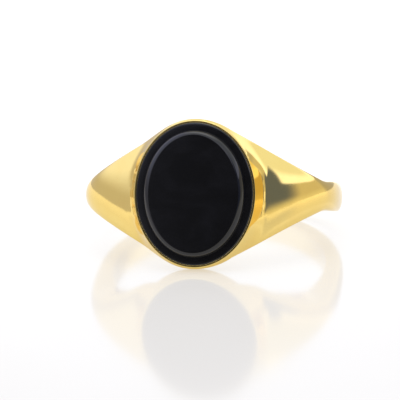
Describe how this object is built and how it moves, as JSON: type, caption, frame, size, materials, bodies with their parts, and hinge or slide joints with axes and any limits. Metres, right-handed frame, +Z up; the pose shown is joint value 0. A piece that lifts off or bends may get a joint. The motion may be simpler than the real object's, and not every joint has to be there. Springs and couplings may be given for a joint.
{
  "type": "signet ring",
  "caption": "Gold signet ring lying on its side: gently domed hoop, tapered shoulders and an oval head with a flat-topped black stone in a rubbed-over collar.",
  "frame": {"origin": "centre of the finger hole, on the ring's middle plane", "axes": "+Z up with the ring lying on its side at rest, +Y from the head towards the back of the hoop, +X across the hoop; the finger axis leans back from +Z towards +Y by the angle at which the ring rests on the head's edge and the back of the hoop"},
  "size_m": [0.0224, 0.024, 0.0123],
  "materials": {
    "gold": "polished yellow gold",
    "solder": "polished hard gold solder",
    "onyx": "polished black onyx",
    "cement": "set dark jeweller's cement"
  },
  "bodies": {
    "root": {"shank": "gold", "head": "gold", "shank_solder": "solder", "bezel_collar": "gold", "stone_bearer": "gold", "setting_cement": "cement", "onyx_stone": "onyx"}
  },
  "joints": []
}
